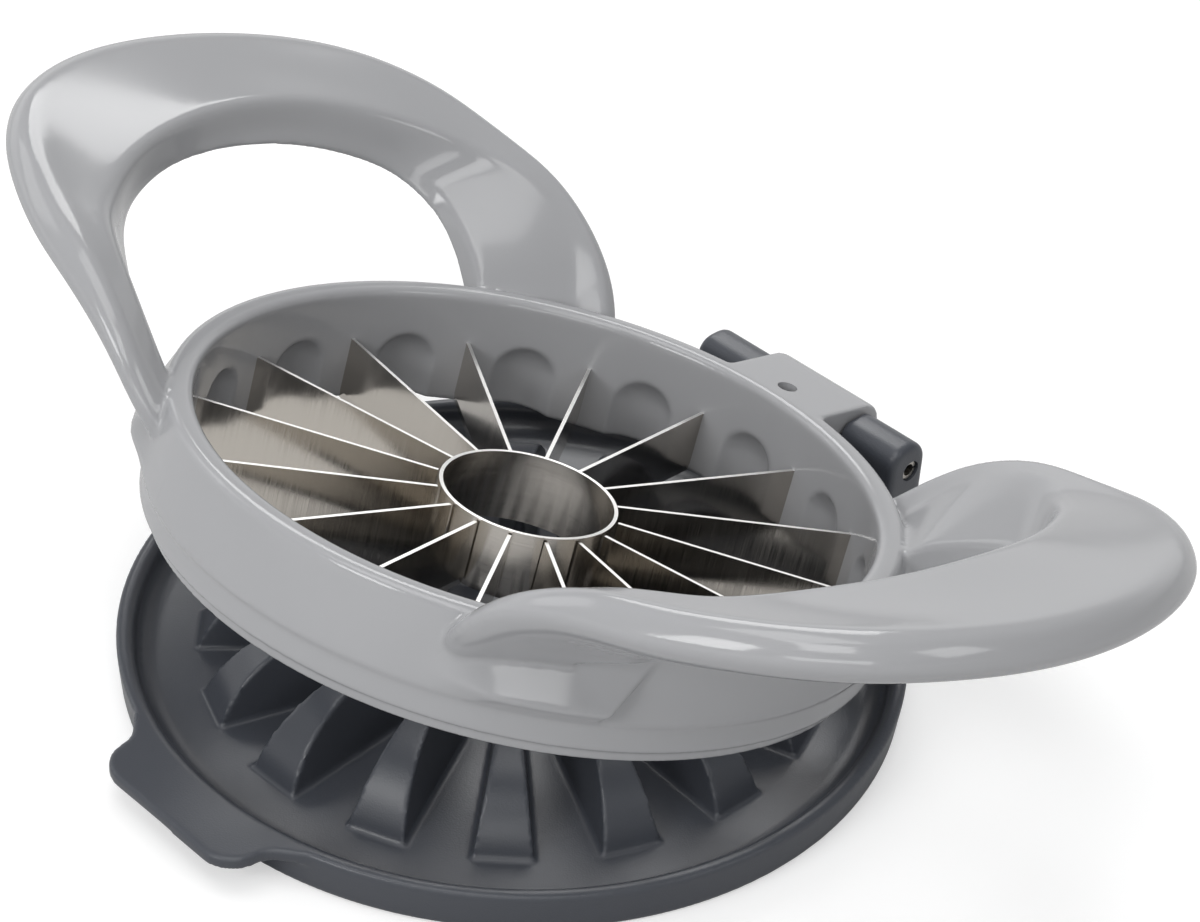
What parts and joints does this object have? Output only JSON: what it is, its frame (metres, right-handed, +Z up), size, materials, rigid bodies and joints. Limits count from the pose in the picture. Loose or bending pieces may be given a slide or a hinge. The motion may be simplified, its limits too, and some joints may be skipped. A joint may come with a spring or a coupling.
{
  "type": "apple slicer wedger press",
  "caption": "Round fruit slicer: thin radial blades and a core ring in a moulded ring with two loop handles, hinged to a base whose wedges push the slices through.",
  "frame": {"origin": "middle of the underside of the round base, on the surface that it rests on", "axes": "+X along the two handles and the hinge pin, -Y towards the pull tab, +Y towards the hinge, +Z up"},
  "size_m": [0.1706, 0.119, 0.0605],
  "materials": {
    "light_plastic": "glossy light grey moulded plastic",
    "dark_plastic": "satin slate grey moulded plastic with a fine texture",
    "blade_steel": "thin brushed stainless steel strip with bright ground edges",
    "pin_steel": "rolled spring steel pin"
  },
  "bodies": {
    "base": {"push_base": "dark_plastic", "hinge_pin": "pin_steel"},
    "cutter": {"cutter_frame": "light_plastic", "core_ring": "blade_steel", "blade_01": "blade_steel", "blade_02": "blade_steel", "blade_03": "blade_steel", "blade_04": "blade_steel", "blade_05": "blade_steel", "blade_06": "blade_steel", "blade_07": "blade_steel", "blade_08": "blade_steel", "blade_09": "blade_steel", "blade_10": "blade_steel", "blade_11": "blade_steel", "blade_12": "blade_steel", "blade_13": "blade_steel", "blade_14": "blade_steel", "blade_15": "blade_steel", "blade_16": "blade_steel"}
  },
  "joints": [
    {"name": "cutter_swing", "type": "hinge", "parent": "base", "child": "cutter", "pos_m": [0, 0.0563, 0.0148], "axis": [-1, 0, 0], "range_deg": [-14.3, 105.7]}
  ]
}
